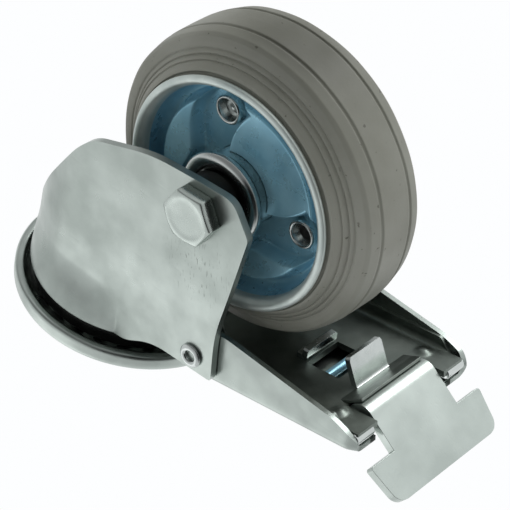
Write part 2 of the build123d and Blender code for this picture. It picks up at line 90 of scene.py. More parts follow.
def resampled(path: Array, count: int, closed: bool = False) -> Array:
    """Spaces points evenly along a path by its running length.

    Args:
        path: (n, k) points.
        count: how many points to return.
        closed: whether the path returns to its first point.

    Returns:
        A (count, k) array.
    """
    line = np.vstack([path, path[:1]]) if closed else path
    run = np.concatenate([[0.0], np.cumsum(np.linalg.norm(np.diff(line, axis=0), axis=1))])
    at = np.linspace(0.0, run[-1], count, endpoint=not closed)
    return np.stack([np.interp(at, run, line[:, k]) for k in range(line.shape[1])], axis=1)


def smooth(low: float, high: float, value: Array) -> Array:
    """0 below low, 1 above high, and 3t^2 - 2t^3 between them."""
    t = np.clip((value - low) / (high - low), 0.0, 1.0)
    return t * t * (3.0 - 2.0 * t)


@dataclass
class Patch:
    """A grid of points with the four-sided faces between them."""

    points: Array
    close_u: bool = False
    close_v: bool = False
    keep: Optional[Array] = None

    def arrays(self) -> tuple[Array, Array]:
        """Flattens the grid.

        Returns:
            (n, 3) corner places in millimetres and (m, 4) corner numbers of the kept faces.
        """
        rows, cols = self.points.shape[:2]
        i = np.arange(rows if self.close_u else rows - 1)[:, None]
        j = np.arange(cols if self.close_v else cols - 1)[None, :]
        i2, j2 = (i + 1) % rows, (j + 1) % cols
        quads = np.stack([i * cols + j, i * cols + j2, i2 * cols + j2, i2 * cols + j], axis=-1)
        if self.keep is not None:
            quads = quads[self.keep]
        return self.points.reshape(-1, 3), quads.reshape(-1, 4)


def turned(profile: Array, count: int, centre: Sequence[float] = (AXLE_X, 0.0, AXLE_Z),
           upright: bool = False) -> Patch:
    """Turns a closed (along, radius) profile about an axis: each point goes once round.

    Args:
        profile: closed outline, distance along the axis first and radius second.
        count: steps round the axis.
        centre: a point on the axis.
        upright: True turns about Z, False about Y.

    Returns:
        The closed surface.
    """
    angle = np.linspace(0.0, 2 * pi, count, endpoint=False)[None, :]
    along = np.broadcast_to(profile[:, :1], (len(profile), count))
    first, second = profile[:, 1:] * np.cos(angle), profile[:, 1:] * np.sin(angle)
    stack = (first, second, along) if upright else (first, along, second)
    return Patch(np.stack(stack, axis=-1) + np.asarray(centre, float), True, True)


def carried(section: Array, width: Array) -> Patch:
    """Carries a line in the X-Z plane across Y: row i spans from -width[i] to width[i].

    Args:
        section: (n, 2) points as (x, z).
        width: (n, m) places along Y for each point.

    Returns:
        The open surface.
    """
    x = np.broadcast_to(section[:, :1], width.shape)
    z = np.broadcast_to(section[:, 1:], width.shape)
    return Patch(np.stack([x, width, z], axis=-1))


def make_piece(name: str, patches: Sequence[Patch], finish: "Finish", body: Body,
               stands_for: Sequence[str], wall: float = 0.0, bevel: float = 0.0) -> bpy.types.Object:
    """Makes one mesh object from patches and hands it to its body.

    Args:
        name: the piece's name.
        patches: surfaces in millimetres.
        finish: the finish that dresses it.
        body: the moving group it rides on.
        stands_for: frame nodes that it replaces.
        wall: sheet thickness in millimetres, laid behind the surface; 0 for a closed shape.
        bevel: width of the softened edges in millimetres.

    Returns:
        The finished object.
    """
    corners, faces, base = [], [], 0
    for patch in patches:
        places, quads = patch.arrays()
        corners.append(places)
        faces.append(quads + base)
        base += len(places)
    mesh = bpy.data.meshes.new(name)
    mesh.from_pydata((np.concatenate(corners) * MM).tolist(), [], np.concatenate(faces).tolist())
    shell = bmesh.new()
    shell.from_mesh(mesh)
    bmesh.ops.remove_doubles(shell, verts=shell.verts, dist=0.01 * MM)
    loose = [v for v in shell.verts if not v.link_faces]
    bmesh.ops.delete(shell, geom=loose, context="VERTS")
    bmesh.ops.recalc_face_normals(shell, faces=shell.faces)
    shell.to_mesh(mesh)
    shell.free()
    mesh.shade_smooth()
    piece = bpy.data.objects.new(name, mesh)
    bpy.context.scene.collection.objects.link(piece)
    if wall:
        solid = piece.modifiers.new("wall", "SOLIDIFY")
        solid.thickness = wall * MM
        solid.offset = -1.0
        solid.use_quality_normals = True
    if bevel:
        edge = piece.modifiers.new("edge", "BEVEL")
        edge.width = bevel * MM
        edge.segments = 2
        edge.limit_method = "ANGLE"
        edge.angle_limit = radians(40)
        edge.use_clamp_overlap = True
        edge.harden_normals = True
    mesh.set_sharp_from_angle(angle=radians(55))
    mesh.materials.append(finish.material())
    if stands_for:
        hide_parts(*stands_for)
    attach(piece, body.value)
    LOG.info("%s: %d faces on %s", name, len(mesh.polygons), body.value)
    return piece


# ---------------------------------------------------------------- finishes
def linear(code: str) -> tuple[float, float, float, float]:
    """Turns an sRGB hex value such as "8A8F8C" into linear red, green, blue and alpha 1.

    Args:
        code: six hex digits, sRGB.

    Returns:
        Linear red, green, blue and alpha.
    """
    part = np.array([int(code[k:k + 2], 16) / 255 for k in (0, 2, 4)])
    value = np.where(part <= 0.04045, part / 12.92, ((part + 0.055) / 1.055) ** 2.4)
    return (*map(float, value), 1.0)


def add_node(tree: bpy.types.NodeTree, kind: str, inputs: dict, **settings) -> bpy.types.Node:
    """Adds a shader node, with its settings, and its inputs set or linked.

    Args:
        tree: the node tree.
        kind: the node's type name.
        inputs: input name or number to a value or to the socket that feeds it.
        settings: attributes of the node.

    Returns:
        The new node.
    """
    node = tree.nodes.new(kind)
    for key, value in settings.items():
        setattr(node, key, value)
    for key, value in inputs.items():
        if isinstance(value, bpy.types.NodeSocket):
            tree.links.new(value, node.inputs[key])
        else:
            node.inputs[key].default_value = value
    return node


@dataclass(frozen=True)
class Finish:
    """A surface: its colours, gloss and relief, with pattern sizes in millimetres.

    Attributes:
        name: what the material is called.
        light: colour of the lighter patches, sRGB hex.
        dark: colour of the darker patches, sRGB hex.
        patch_mm: size of the colour patches.
        metallic: 1 for bare or plated metal.
        roughness: middle of the roughness range.
        spread: how far the roughness wanders from the middle.
        grain_mm: size of the fine relief.
        grain_depth_mm: depth of the fine relief.
        dent_mm: size of the slow waviness left by pressing or moulding.
        dent_depth_mm: depth of the slow waviness.
        scratch: how much the scratches show, 0 to 1.
        spot: colour of small stains and pits, or empty for none.
        coat: weight of a clear top layer.
        scuff: middle (X, Y, Z) and radius in millimetres of a group of short scuffs, or None.
    """

    name: str
    light: str
    dark: str
    patch_mm: float = 14.0
    metallic: float = 1.0
    roughness: float = 0.35
    spread: float = 0.08
    grain_mm: float = 0.5
    grain_depth_mm: float = 0.004
    dent_mm: float = 9.0
    dent_depth_mm: float = 0.05
    scratch: float = 0.0
    spot: str = ""
    coat: float = 0.0
    scuff: Optional[tuple[float, float, float, float]] = None

    def noise(self, tree: bpy.types.NodeTree, where: bpy.types.NodeSocket, size_mm: float,
              detail: float = 3.0, stretch: tuple[float, float, float] = (1, 1, 1)) -> bpy.types.NodeSocket:
        """Adds a noise whose features are about size_mm across, squeezed by stretch along X, Y and Z.

        Args:
            tree: the node tree.
            where: the place that the noise is read at.
            size_mm: size of its features in millimetres.
            detail: how much fine detail it has.
            stretch: how much it is squeezed along each axis.

        Returns:
            The noise, about 0 to 1.
        """
        place = add_node(tree, "ShaderNodeMapping", {"Vector": where, "Scale": stretch})
        spot = add_node(tree, "ShaderNodeTexNoise",
                        {"Vector": place.outputs[0], "Scale": 1.0 / (size_mm * MM), "Detail": detail})
        return spot.outputs["Fac"]

    def ramp(self, tree: bpy.types.NodeTree, value: bpy.types.NodeSocket, low: float,
             high: float, to_low: float = 0.0, to_high: float = 1.0) -> bpy.types.NodeSocket:
        """Maps low..high of a value to to_low..to_high, clamped."""
        span = {"Value": value, "From Min": low, "From Max": high, "To Min": to_low, "To Max": to_high}
        return add_node(tree, "ShaderNodeMapRange", span).outputs[0]

    def material(self) -> bpy.types.Material:
        """Builds the material once and returns it each time.

        Returns:
            The material.
        """
        known = bpy.data.materials.get(self.name)
        if known:
            return known
        made = bpy.data.materials.new(self.name)
        made.use_nodes = True
        tree = made.node_tree
        tree.nodes.clear()
        where = add_node(tree, "ShaderNodeTexCoord", {}).outputs["Object"]
        cloud = self.noise(tree, where, self.patch_mm, 4.0)
        part = self.ramp(tree, cloud, 0.35, 0.65)
        tint = add_node(tree, "ShaderNodeMix", {"Factor": part, 6: linear(self.dark), 7: linear(self.light)},
                        data_type="RGBA")
        colour = tint.outputs[2]
        grain = self.noise(tree, where, self.grain_mm, 4.0)
        rough = self.ramp(tree, self.noise(tree, where, self.patch_mm * 0.35, 6.0), 0.3, 0.7,
                          self.roughness - self.spread, self.roughness + self.spread)
        if self.spot:
            pits = self.ramp(tree, self.noise(tree, where, 1.6, 2.0), 0.70, 0.76)
            stained = add_node(tree, "ShaderNodeMix", {"Factor": pits, 6: colour, 7: linear(self.spot)},
                               data_type="RGBA")
            colour = stained.outputs[2]
        if self.scuff:
            middle = tuple(v * MM for v in self.scuff[:3])
            away = add_node(tree, "ShaderNodeVectorMath", {0: where, 1: middle}, operation="DISTANCE")
            near = self.ramp(tree, away.outputs["Value"], self.scuff[3] * MM, self.scuff[3] * 0.3 * MM)
            turned_way = add_node(tree, "ShaderNodeVectorRotate", {"Vector": where, "Angle": radians(104)},
                                  rotation_type="Y_AXIS").outputs[0]
            dash = self.ramp(tree, self.noise(tree, turned_way, 0.6, 2.0, (0.25, 1.0, 1.5)), 0.60, 0.68)
            part = add_node(tree, "ShaderNodeMath", {0: near, 1: dash}, operation="MULTIPLY")
            marked = add_node(tree, "ShaderNodeMix",
                              {"Factor": part.outputs[0], 6: colour, 7: linear("7C837E")}, data_type="RGBA")
            colour = marked.outputs[2]
        relief = add_node(tree, "ShaderNodeBump",
                          {"Height": self.noise(tree, where, self.dent_mm, 1.0), "Strength": 1.0,
                           "Distance": self.dent_depth_mm * MM})
        fine = add_node(tree, "ShaderNodeBump",
                        {"Height": grain, "Strength": 1.0, "Distance": self.grain_depth_mm * MM,
                         "Normal": relief.outputs[0]})
        normal = fine.outputs[0]
        if self.scratch:
            lines = self.noise(tree, where, 1.4, 2.0, (0.12, 1.0, 1.0))
            cross = self.noise(tree, where, 1.1, 2.0, (1.0, 1.0, 0.10))
            marks = add_node(tree, "ShaderNodeMath",
                             {0: self.ramp(tree, lines, 0.62, 0.70), 1: self.ramp(tree, cross, 0.64, 0.72)},
                             operation="MAXIMUM")
            worn = add_node(tree, "ShaderNodeBump",
                            {"Height": marks.outputs[0], "Strength": self.scratch, "Distance": 0.02 * MM,
                             "Normal": normal}, invert=True)
            normal = worn.outputs[0]
        surface = add_node(tree, "ShaderNodeBsdfPrincipled",
                           {"Base Color": colour, "Metallic": self.metallic, "Roughness": rough,
                            "Normal": normal, "Coat Weight": self.coat})
        add_node(tree, "ShaderNodeOutputMaterial", {"Surface": surface.outputs[0]})
        return made


# Zinc-plated pressed steel: pale, slightly green, satin, with handling scratches and slow dents.
ZINC = Finish("zinc_plated_steel", "BCC5C0", "ACB5B0", 16.0, 1.0, 0.34, 0.07, 0.5, 0.003, 14.0, 0.07,
              scratch=0.4)
# The fork's plate, with a group of short dark scuffs above the axle bolt.
FORK_ZINC = replace(ZINC, name="zinc_plated_fork", light="B6BFBA", dark="9FA8A3",
                    scuff=(-36.0, -25.2, -48.0, 13.0))
# The brake channel's plate, which came duller out of the same bath.
CHANNEL_ZINC = replace(ZINC, name="zinc_plated_channel", light="A6AFAA", dark="979F9B")
# The same plate where tools and wear have burnished it: bolt, rivets and pins.
BRIGHT_ZINC = Finish("bright_zinc_steel", "CDD2D0", "BBC1BF", 8.0, 1.0, 0.24, 0.05, 0.4, 0.002, 6.0, 0.03)
# Cold-headed bolt and nut: the same plate with a duller, greener face.
HEX_ZINC = replace(BRIGHT_ZINC, name="cold_headed_bolt_zinc", light="BEC7C2", dark="B0B9B4", roughness=0.27)
# Blue-passivated zinc on the rim: cool and satin, with drawing marks from the press.
BLUE_ZINC = Finish("blue_passivated_rim", "9CCDE0", "7AAFC6", 12.0, 0.5, 0.30, 0.06, 0.5, 0.003, 9.0, 0.05,
                   scratch=0.04)
# The rolled lip, given a pale colour as a painted highlight along its rounded band.
LIP_PAINTED_HIGHLIGHT = Finish("rim_lip_painted_highlight", "D3DCD8", "BDC8C5", 9.0, 0.7, 0.45, 0.06, 0.5, 0.003, 7.0, 0.04)
# Unpolished zinc on the brake's inner plate: grey-green and dull, and darkened further as painted shade for
# its place inside the channel.
DULL_ZINC_PAINTED_SHADE = Finish("dull_zinc_plate_painted_shade", "858D87", "717974", 10.0, 1.0, 0.42, 0.06, 0.5, 0.004, 8.0, 0.05,
                   scratch=0.2)
# Near-black steel that is painted shade for deep gaps and bores: the ball-race collar, the depths of the
# rivets, and the axle tube and spacers between the legs.
PAINTED_SHADE_STEEL = Finish("painted_shade_steel", "1E211F", "121413", 5.0, 0.6, 0.45, 0.10, 0.6, 0.01, 4.0, 0.02)
# Non-marking grey rubber: matte, warm grey, with fine mould grain and a few dark specks.
RUBBER = Finish("grey_rubber", "8F9088", "82837A", 22.0, 0.0, 0.60, 0.06, 0.7, 0.02, 14.0, 0.06,
                spot="605F57")
# Ground and polished bearing steel.
BEARING = Finish("bearing_steel", "D8D8D6", "C8C8C6", 6.0, 1.0, 0.12, 0.03, 0.4, 0.0005, 5.0, 0.004)
# Natural polyamide of the roller cage.
CAGE = Finish("natural_polyamide", "D8D2C0", "CCC5B0", 6.0, 0.0, 0.45, 0.06, 0.4, 0.005, 5.0, 0.02)


# ---------------------------------------------------------------- sub-assemblies
@dataclass
class Head:
    """Head cap with its turned-down rim; the sleeve, race and balls keep the frame's shapes."""

    radius: float = 32.8
    lip_inner: float = 30.3
    depth: float = 5.4
    wall: float = 2.5
    sleeve: float = 8.0

    def build(self) -> None:
        """Turns the cap's section about Z, with a slight wave towards its rim."""
        under = 0.08 - self.wall
        section = [(0.0, self.sleeve), (0.0, self.radius), (-self.depth, self.radius),
                   (-self.depth, self.lip_inner), (under - 1.6, self.lip_inner),
                   (under, self.lip_inner - 1.6), (under, self.sleeve)]
        outline = rounded(section, [0.4, 3.2, 1.2, 0.9, 0.9, 0.9, 0.3], 9)
        cap = turned(resampled(outline, 150, True), 300, (0, 0, 0), True)
        angle = np.arctan2(cap.points[..., 1], cap.points[..., 0])
        hammer = 0.06 * np.sin(5 * angle + 0.7) + 0.04 * np.sin(13 * angle + 2.0) + 0.02 * np.sin(31 * angle)
        edge = smooth(self.depth - 2.5, self.depth, -cap.points[..., 2])
        cap.points[..., 2] += hammer * edge
        make_piece("head_cap_pressed", [cap], ZINC, Body.HEAD, ["head_cap"])


@dataclass
class Fork:
    """Pressed fork: a U-shaped shell that swells into a round crown, cut along a sloping hem."""

    crown: float = 29.2
    crown_top: float = -7.5
    flare_low: float = -21.0
    flare_high: float = -9.0
    columns: int = 210
    rows: int = 64

    @property
    def front_x(self) -> float:
        """Centre of the shell's round front."""
        return self.crown - LEG_HALF

    def unrolled(self, x: Array) -> Array:
        """Running length along the plan at a given x: x itself on the leg, then arc length."""
        bow = np.clip((x - self.front_x) / LEG_HALF, 0.0, 1.0)
        return np.where(x > self.front_x, self.front_x + LEG_HALF * np.arcsin(bow), x)

    def shell(self) -> Patch:
        """Blends four edges: rear edge, crown edge, the short front and the hem under them.

        Edges are pairs of running length and height. A point inside is the mean of the two
        lofts between opposite edges, less the flat patch through the four corners. Its running
        length then places it on the U: straight along the leg, then round the front. Near the
        crown it moves out to the crown's circle by a smooth share of its height.

        Returns:
            The outer face of both legs and the front between them.
        """
        front = self.unrolled(np.array([self.crown]))[0]
        top = rounded([(-44.9, -17.01), (-27.0, -15.2), (-18.2, -9.2), (-12.0, -9.0), (front, -9.0)],
                      [0, 6.0, 3.0, 2.0, 0], 9, False)
        hem_x = np.linspace(6.8, self.crown, 60)
        hem_z = -56.0 + (hem_x - 6.8) * 1.731 + 2.2 * smooth(16.0, 26.0, hem_x)
        hem = np.stack([self.unrolled(hem_x), hem_z], axis=1)
        low = np.array([(-46.7, -66.42), (-41.5, -72.5), (-30.0, -71.2), (-15.5, -69.0), (2.4, -61.3)])
        low = rounded(np.vstack([low, hem[:1], hem[12:13]]), [0, 3.0, 5.0, 6.0, 6.0, 8.0, 0], 11, False)
        low = np.vstack([low[:-1], hem[12:]])
        rear = rounded([top[0], (-46.8, -17.2), (-44.9, -31.5), (-46.4, -46.0), (-48.0, -64.9), low[0]],
                       [0, 1.4, 6.0, 8.0, 1.6, 0], 11, False)
        u = np.linspace(0.0, 1.0, self.columns)[:, None, None]
        v = np.linspace(0.0, 1.0, self.rows)[None, :, None]
        upper, lower = resampled(top, self.columns)[:, None], resampled(low, self.columns)[:, None]
        left = resampled(rear, self.rows)[None]
        right = resampled(np.vstack([top[-1], low[-1]]), self.rows)[None]
        corners = (1 - v) * ((1 - u) * top[0] + u * top[-1]) + v * ((1 - u) * low[0] + u * low[-1])
        flat = (1 - v) * upper + v * lower + (1 - u) * left + u * right - corners
        run, z = flat[..., 0], flat[..., 1]
        turn = np.clip((run - self.front_x) / LEG_HALF, 0.0, None)
        x = np.where(turn > 0, self.front_x + LEG_HALF * np.sin(turn), run)
        y = -LEG_HALF * np.cos(turn)
        reach = np.maximum(self.crown / np.hypot(x, y), 1.0)
        swell = 1.0 + smooth(self.flare_low, self.flare_high, z) * (reach - 1.0)
        x, y = x * swell, y * swell
        near = np.stack([x, y, z], axis=-1)
        far = np.stack([x, -y, z], axis=-1)[::-1]
        return Patch(np.concatenate([near, far[1:]]))

    def crown_ring(self) -> Patch:
        """Turns the crown's plate, its shoulder and its upstand about Z.

        Returns:
            The closed surface.
        """
        t, c = self.crown_top, self.crown
        section = [(t, 9.5), (t, 28.0), (t - 1.2, c - 0.1), (t - 2.6, c - 0.15), (t - 2.6, c - SHEET),
                   (t - SHEET, c - SHEET - 0.8), (t - SHEET, 9.5)]
        return turned(resampled(rounded(section, 0.4, 5), 110, True), 260, (0, 0, 0), True)

    def collar(self) -> Patch:
        """Turns the upstand that shields the balls, just inside the crown's edge; its near-black finish is
        painted shade for the gap under the head's rim.

        Returns:
            The closed surface.
        """
        t = self.crown_top
        section = [(t - 0.2, 26.4), (t + 3.6, 26.4), (t + 3.6, 27.9), (t - 0.2, 28.3)]
        return turned(rounded(section, 0.3, 4), 260, (0, 0, 0), True)

    def build(self) -> None:
        """Makes the shell with its wall and the crown as one pressed piece each."""
        make_piece("fork_shell", [self.shell()], FORK_ZINC, Body.FORK, ["fork"], SHEET, 0.3)
        make_piece("fork_crown", [self.crown_ring()], ZINC, Body.FORK, [])
        # The collar's near-black finish is painted shade in the gap between the crown and the head's rim.
        make_piece("fork_collar", [self.collar()], PAINTED_SHADE_STEEL, Body.FORK, [])


@dataclass
class HexFastener:
    """A hexagon with its top corners cut by a cone, and a round shank."""

    flats: float = 13.0
    crest: float = 6.2
    slope: float = 18.0
    steps: int = 180
    phase: float = 5.0

    def radius(self, angle: Array) -> Array:
        """Distance to the hexagon's side: half the flats over the cosine from the nearest flat."""
        wrapped = np.mod(angle - radians(self.phase) + 2 * pi, pi / 3) - pi / 6
        return self.flats / 2 / np.cos(wrapped)

    def build(self, name: str, base: float, height: float, shank: float, stands_for: str) -> None:
        """Stacks rings from the seat to the face, the cone meeting each side where it must.

        Args:
            name: the piece's name.
            base: place of the seat along Y.
            height: signed height of the hexagon along Y.
            shank: radius of the hole or boss drawn on the outer face.
            stands_for: frame node that it replaces.
        """
        angle = np.linspace(0.0, 2 * pi, self.steps, endpoint=False)
        side = self.radius(angle)
        hand = np.sign(height)
        shoulder = base + height - hand * np.maximum(side - self.crest, 0.0) * tan(radians(self.slope))
        rings = [(np.full_like(side, base), np.full_like(side, 0.5)),
                 (np.full_like(side, base), side - 0.15),
                 (np.full_like(side, base + hand * 0.15), side), (shoulder - hand * 0.12, side),
                 (shoulder + hand * 0.02, side - 0.12),
                 (np.full_like(side, base + height), np.full_like(side, self.crest - 0.1)),
                 (np.full_like(side, base + height - hand * 0.12), np.full_like(side, self.crest - 0.9)),
                 (np.full_like(side, base + height - hand * 0.12), np.full_like(side, shank)),
                 (np.full_like(side, base + height - hand * 0.12), np.full_like(side, 0.01))]
        along = np.stack([ring[0] for ring in rings])
        reach = np.stack([ring[1] for ring in rings])
        points = np.stack([AXLE_X + reach * np.cos(angle), along, AXLE_Z + reach * np.sin(angle)], axis=-1)
        make_piece(name, [Patch(points, False, True)], HEX_ZINC, Body.FORK, [stands_for])


@dataclass
class Axle:
    """Bolt head, nut and shank across the fork legs."""

    head: float = 4.2
    nut: float = 6.5
    washer: float = 1.6
    shank: float = 4.0
    tail: float = 2.5

    def build(self) -> None:
        """Makes the bolt head with its shank, and the nut."""
        HexFastener().build("axle_bolt_head", -LEG_HALF, -self.head, 4.0, "axle_bolt")
        seat = LEG_HALF + self.washer
        HexFastener(phase=0.0).build("axle_nut_hex", seat, self.nut, self.shank, "axle_nut")
        end = seat + self.nut + self.tail
        turns = 6
        rod = np.array([(-LEG_HALF, 0.02), (-LEG_HALF, self.shank), (seat + self.nut - 0.5, self.shank)])
        thread = np.linspace(seat + self.nut - 0.5, end - 0.9, 2 * turns)
        crest = self.shank - 0.35 * (np.arange(2 * turns) % 2)
        rod = np.vstack([rod, np.stack([thread, crest], axis=1), [(end, self.shank - 0.9), (end, 0.02)]])
        make_piece("axle_bolt_shank", [turned(rod, 96)], BRIGHT_ZINC, Body.FORK, [])


@dataclass
class PivotRivets:
    """Tubular rivets, one through each leg, on which the brake lever turns."""

    x: float = -39.7
    z: float = -20.9
    radius: float = 2.15
    head: float = 3.2
    bore: float = 1.2

    def build(self) -> None:
        """Turns one rolled head and its body for each leg."""
        inner = 17.6
        outer = LEG_HALF
        section = [(inner, self.bore), (inner, self.head - 0.2), (inner + 0.8, self.head),
                   (inner + 0.9, self.radius), (outer, self.radius), (outer + 0.05, self.head),
                   (outer + 0.7, self.head + 0.1), (outer + 1.2, self.head - 0.9),
                   (outer + 0.9, self.bore + 0.3), (outer - 1.5, self.bore)]
        outline = rounded(section, 0.35, 5)
        pair = []
        for hand in (-1, 1):
            pair.append(turned(outline * np.array([hand, 1.0]), 72, (self.x, 0.0, self.z)))
        make_piece("lever_rivets", pair, BRIGHT_ZINC, Body.FORK, ["pivot_rivets"])


@dataclass
class Wheel:
    """Rubber tyre on two pressed rim halves, joined by tubular rivets round a flared hub."""

    radius: float = 40.0
    lip: float = 30.7
    seat: float = 28.95
    half: float = 15.7
    web: float = 7.2
    sheet: float = 1.5
    hub: float = 10.0
    rivet_circle: float = 19.7
    rivet_angles: tuple[float, ...] = (-64.0, 56.0, 176.0)
    bright_stem: int = 0
    raise_by: float = 4.4
    broad_sector: float = -124.0

    def tyre(self) -> None:
        """Turns the tyre's section: a flat tread, two tread lines, stepped shoulders and a clamped rib."""
        r = self.radius
        side = [(0.0, r), (4.7, r - 0.03), (4.95, r - 0.45), (5.45, r - 0.55), (5.75, r - 0.12),
                (8.6, r - 0.75), (9.5, r - 1.5), (9.95, r - 2.9), (10.15, 35.9), (9.85, 35.6),
                (10.4, 35.2), (10.75, 34.6),
                (10.4, 34.25), (11.2, 34.1), (11.95, 33.5), (11.6, 33.1), (12.3, 32.9), (13.6, 31.9),
                (13.9, 31.2), (13.2, 30.8), (13.6, self.seat), (self.web - self.sheet, self.seat),
                (self.web - self.sheet, 24.0)]
        outline = np.array(side + [(-y, rr) for y, rr in reversed(side[1:])])
        soft = resampled(rounded(outline, 0.22, 4), 420, True)
        cast = turned(soft, 280)
        away = np.hypot(cast.points[..., 0] - AXLE_X, cast.points[..., 2] - AXLE_Z)
        angle = np.arctan2(cast.points[..., 2] - AXLE_Z, cast.points[..., 0] - AXLE_X)
        wave = 0.05 * np.sin(7 * angle + cast.points[..., 1] * 0.3) + 0.03 * np.sin(17 * angle + 1.0)
        scale = 1.0 + np.where(away > self.lip + 0.5, wave - 0.08, 0.0) / away
        cast.points[..., 0] = AXLE_X + (cast.points[..., 0] - AXLE_X) * scale
        cast.points[..., 2] = AXLE_Z + (cast.points[..., 2] - AXLE_Z) * scale
        make_piece("tyre_rubber_ring", [cast], RUBBER, Body.WHEEL, ["tyre"])

    def recess_edge(self, angle: Array) -> Array:
        """Radius of the three-cornered recess: large at each rivet and small midway between them."""
        swing = (np.cos(3 * (angle - radians(self.rivet_angles[0]))) + 1) / 2
        return 14.2 + 10.6 * swing

    def relief(self, away: Array, angle: Array, broad: bool) -> Array:
        """Share of the pressed height: 1 past the recess, and 1 on the broad sector down to the hub.

        Args:
            away: distance from the axle in millimetres.
            angle: angle round the axle in radians.
            broad: whether this half has the broad sector.

        Returns:
            0 for the recess to 1 for the raised web.
        """
        past = smooth(0.0, 1.3, away - self.recess_edge(angle))
        turn = np.abs(np.mod(np.degrees(angle) - self.broad_sector + 180.0, 360.0) - 180.0)
        limit = 41.0 + 1.9 * (20.5 - away)
        sector = smooth(-3.0, 3.0, limit - turn) if broad else 0.0
        return np.maximum(past, sector) * (1.0 - smooth(23.2, 25.4, away))

    def rim(self, hand: int) -> Patch:
        """One rim half: web, fillet, barrel and rolled lip, with raised pads outside the recess.

        The web moves out by raise_by where the radius is past the recess's edge and inside the
        groove at the foot of the barrel, with smooth steps between.

        Args:
            hand: -1 for the bolt side, 1 for the nut side.

        Returns:
            The closed surface.
        """
        w, s, h = self.web, self.sheet, self.half
        section = [(w - s, self.hub + 0.05), (w, self.hub + 0.05), (w, 26.0), (w + 1.8, self.seat - s),
                   (h - 3.2, self.seat - s + 0.05), (h - 2.9, self.seat), (w - s + 0.4, self.seat),
                   (w - s, self.seat - 0.5)]
        outline = resampled(rounded(section, [0.1, 0.1, 1.8, 2.2, 0.2, 0.2, 0.4, 0.4], 8), 210, True)
        outline[:, 0] *= hand
        shape = turned(outline, 360)
        x, z = shape.points[..., 0] - AXLE_X, shape.points[..., 2] - AXLE_Z
        away, angle = np.hypot(x, z), np.arctan2(z, x)
        on_web = np.abs(shape.points[..., 1]) < w + 0.3
        lift = self.raise_by * self.relief(away, angle, hand < 0)
        shape.points[..., 1] += hand * np.where(on_web, lift, 0.0)
        return shape

    def lip_ring(self, hand: int) -> Patch:
        """Turns the rolled lip: a broad rounded band from the barrel's mouth to the tyre.

        Args:
            hand: -1 for the bolt side, 1 for the nut side.

        Returns:
            The closed surface.
        """
        h = self.half
        section = [(h - 3.3, self.seat - self.sheet + 0.02), (h - 1.5, self.seat - self.sheet + 0.35),
                   (h - 0.15, self.seat - 0.15), (h, self.seat + 0.9), (h - 0.5, self.lip),
                   (h - 1.4, self.lip - 0.15), (h - 1.7, self.seat + 0.6), (h - 2.3, self.seat),
                   (h - 3.3, self.seat - 0.05)]
        outline = rounded(section, [0.1, 1.4, 1.0, 0.9, 0.5, 0.4, 0.5, 0.5, 0.1], 7) * np.array([hand, 1.0])
        return turned(resampled(outline, 70, True), 360)

    def rivet_places(self) -> list[tuple[float, float, float]]:
        """Middle of each rivet, on a circle about the axle."""
        turns, reach = [radians(degrees) for degrees in self.rivet_angles], self.rivet_circle
        return [(AXLE_X + reach * cos(t), 0.0, AXLE_Z + reach * sin(t)) for t in turns]

    def rivets(self) -> None:
        """Turns the tubular rivets, each with a rolled flange at both ends, and fills their bores: one fill
        in bright zinc, the others near-black as painted shade deep in the tube.
        """
        w = self.web
        section = [(w - 0.05, 2.6), (w + 0.1, 3.9), (w + 2.0, 3.9), (w + 2.5, 3.4), (w + 2.3, 2.9),
                   (w + 0.2, 2.0)]
        mirrored = [(-y, r) for y, r in reversed(section)]
        bends = [0.1, 0.3, 0.5, 0.6, 0.6, 0.3]
        outline = rounded(section + mirrored, bends + bends[::-1], 6)
        group = [turned(outline, 60, place) for place in self.rivet_places()]
        make_piece("rim_tube_rivets", group, BRIGHT_ZINC, Body.WHEEL, ["rim_rivets"])
        bore_fill = rounded([(-w - 0.35, 0.02), (-w - 0.35, 2.1), (w + 0.35, 2.1), (w + 0.35, 0.02)], 0.1, 3)
        for number, place in enumerate(self.rivet_places()):
            # Every fill but the bright one is a near-black plug of painted shade where the tube's depth is
            # dark.
            finish = BRIGHT_ZINC if number == self.bright_stem else PAINTED_SHADE_STEEL
            make_piece(f"rim_rivet_bore_fill_{number}", [turned(bore_fill, 40, place)], finish, Body.WHEEL,
                       [])

    def hub_sleeve(self) -> None:
        """Turns the hub tube with a bell-mouthed flare at each end."""
        side = [(0.0, self.hub), (12.6, self.hub), (14.6, 10.6), (15.8, 11.8), (17.2, 12.1), (18.1, 11.0),
                (18.3, 9.6), (17.6, 8.0), (16.2, 6.9), (16.0, 6.3), (15.2, 6.3), (14.8, 8.5)]
        outline = rounded(side + [(-y, r) for y, r in reversed(side[1:])], 0.7, 6)
        make_piece("hub_flared_tube", [turned(resampled(outline, 150, True), 180)], BRIGHT_ZINC, Body.WHEEL,
                   ["hub_tube"])

    def build(self) -> None:
        """Makes every piece of the wheel."""
        self.tyre()
        make_piece("rim_half_bolt_side", [self.rim(-1)], BLUE_ZINC, Body.WHEEL, ["rim_near"])
        make_piece("rim_half_nut_side", [self.rim(1)], BLUE_ZINC, Body.WHEEL, ["rim_far"])
        lips = [self.lip_ring(-1), self.lip_ring(1)]
        # The lips' pale finish is a painted highlight.
        make_piece("rim_rolled_lips", lips, LIP_PAINTED_HIGHLIGHT, Body.WHEEL, [])
        self.rivets()
        self.hub_sleeve()


